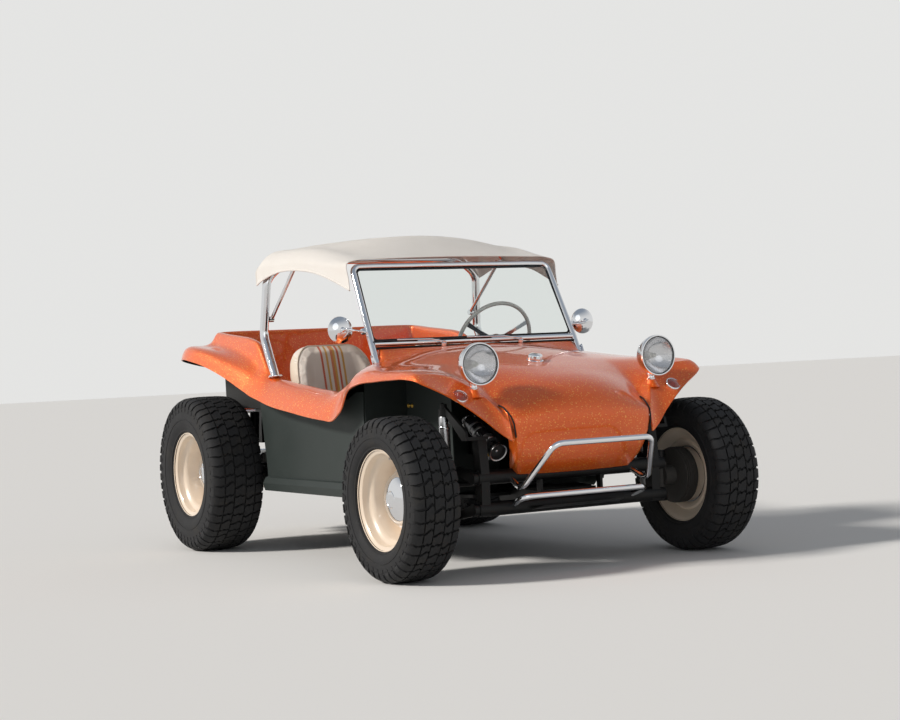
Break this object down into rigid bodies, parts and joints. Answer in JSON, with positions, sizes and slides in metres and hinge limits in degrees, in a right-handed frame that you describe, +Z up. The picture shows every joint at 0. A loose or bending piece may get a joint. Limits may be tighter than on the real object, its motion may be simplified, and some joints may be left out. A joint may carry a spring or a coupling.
{
  "type": "dune buggy",
  "caption": "Short-wheelbase open beach buggy with a moulded body, canvas top, chrome tubular bumpers, chunky off-road tyres and a bare rear-mounted air-cooled engine.",
  "frame": {"origin": "on the ground, under the middle of the overall length and on the centre line", "axes": "+X forward, +Y to the vehicle's left, +Z up"},
  "size_m": [3.2, 1.7352, 1.5018],
  "materials": {
    "tyre_rubber": "matt moulded rubber",
    "wheel_cream": "cream gloss enamel",
    "chrome": "polished plating",
    "body_orange": "metal-flake gloss gel coat",
    "panel_satin": "satin dark grey",
    "canvas": "woven canvas",
    "seat_vinyl": "pleated vinyl with stripes",
    "glass": "clear laminated",
    "lens_clear": "fluted clear glass",
    "lens_amber": "red-amber lens",
    "lens_red": "red lens",
    "engine_alloy": "as cast",
    "pipe_cream": "ceramic coated",
    "steering_grey": "light grey moulded",
    "chassis_black": "satin black"
  },
  "bodies": {
    "chassis": {"body_sides": "body_orange", "canopy": "canvas", "dampers": "chassis_black", "dashboard": "body_orange", "engine_block": "engine_alloy", "exhaust": "pipe_cream", "fan_shroud": "chassis_black", "filler_cap": "chrome", "floor_pan": "chassis_black", "front_beam_and_arms": "chassis_black", "front_bumper": "chrome", "front_fenders": "body_orange", "fuel_tank": "chassis_black", "gearbox": "engine_alloy", "generator_and_pulleys": "chassis_black", "headlight_buckets": "chrome", "headlight_lenses": "lens_clear", "hood": "body_orange", "horn": "chassis_black", "inner_wings": "panel_satin", "intake_and_air_cleaner": "engine_alloy", "levers": "chassis_black", "mirrors": "chrome", "rear_axle": "chassis_black", "rear_bumper": "chrome", "rear_deck": "body_orange", "rear_fenders": "body_orange", "roll_bar": "chrome", "seat_pedestals": "chassis_black", "seats": "seat_vinyl", "side_panels": "panel_satin", "steering_column_and_box": "chassis_black", "tail_lamps": "lens_red", "top_struts": "chrome", "turn_signals": "lens_amber", "windshield_frame": "chrome", "windshield_glass": "glass"},
    "wheel_front_left": {"tyre_front_left": "tyre_rubber", "wheel_front_left": "wheel_cream"},
    "wheel_front_right": {"tyre_front_right": "tyre_rubber", "wheel_front_right": "wheel_cream"},
    "wheel_rear_left": {"tyre_rear_left": "tyre_rubber", "wheel_rear_left": "wheel_cream"},
    "wheel_rear_right": {"tyre_rear_right": "tyre_rubber", "wheel_rear_right": "wheel_cream"},
    "knuckle_left": {"knuckle_left": "chassis_black"},
    "knuckle_right": {"knuckle_right": "chassis_black"},
    "drop_arm": {"drop_arm": "chassis_black"},
    "track_rod": {"track_rod": "chassis_black"},
    "steering_wheel": {"steering_wheel": "steering_grey"}
  },
  "joints": [
    {"name": "steer_right", "type": "hinge", "parent": "chassis", "child": "knuckle_right", "pos_m": [1.19, -0.56, 0.338], "axis": [0, 0, 1], "range_deg": [-28, 28]},
    {"name": "steer_left", "type": "hinge", "parent": "chassis", "child": "knuckle_left", "pos_m": [1.19, 0.56, 0.338], "axis": [0, 0, 1], "range_deg": [-28.5, 28.5]},
    {"name": "drop_arm_turn", "type": "hinge", "parent": "chassis", "child": "drop_arm", "pos_m": [1.19, 0, 0.39], "axis": [0, 0, 1], "range_deg": [-28.5, 28.5]},
    {"name": "track_rod_pivot", "type": "hinge", "parent": "drop_arm", "child": "track_rod", "pos_m": [1.07, 0, 0.366], "axis": [0, 0, 1], "range_deg": [-28.5, 28.5]},
    {"name": "steering_wheel_turn", "type": "hinge", "parent": "chassis", "child": "steering_wheel", "pos_m": [0.27, 0.285, 0.97], "axis": [-0.9063, 0, 0.4226], "range_deg": [-397, 397]},
    {"name": "wheel_front_left_spin", "type": "hinge", "parent": "knuckle_left", "child": "wheel_front_left", "pos_m": [1.19, 0.746, 0.338], "axis": [0, 1, 0], "continuous": true},
    {"name": "wheel_front_right_spin", "type": "hinge", "parent": "knuckle_right", "child": "wheel_front_right", "pos_m": [1.19, -0.746, 0.338], "axis": [0, 1, 0], "continuous": true},
    {"name": "wheel_rear_left_spin", "type": "hinge", "parent": "chassis", "child": "wheel_rear_left", "pos_m": [-0.85, 0.734, 0.383], "axis": [0, 1, 0], "continuous": true},
    {"name": "wheel_rear_right_spin", "type": "hinge", "parent": "chassis", "child": "wheel_rear_right", "pos_m": [-0.85, -0.734, 0.383], "axis": [0, 1, 0], "continuous": true}
  ],
  "couplings": [
    {"joint": "steer_left", "follows": "steer_right", "ratio": 1},
    {"joint": "drop_arm_turn", "follows": "steer_right", "ratio": 1},
    {"joint": "track_rod_pivot", "follows": "steer_right", "ratio": -1},
    {"joint": "steering_wheel_turn", "follows": "steer_right", "ratio": 14}
  ]
}
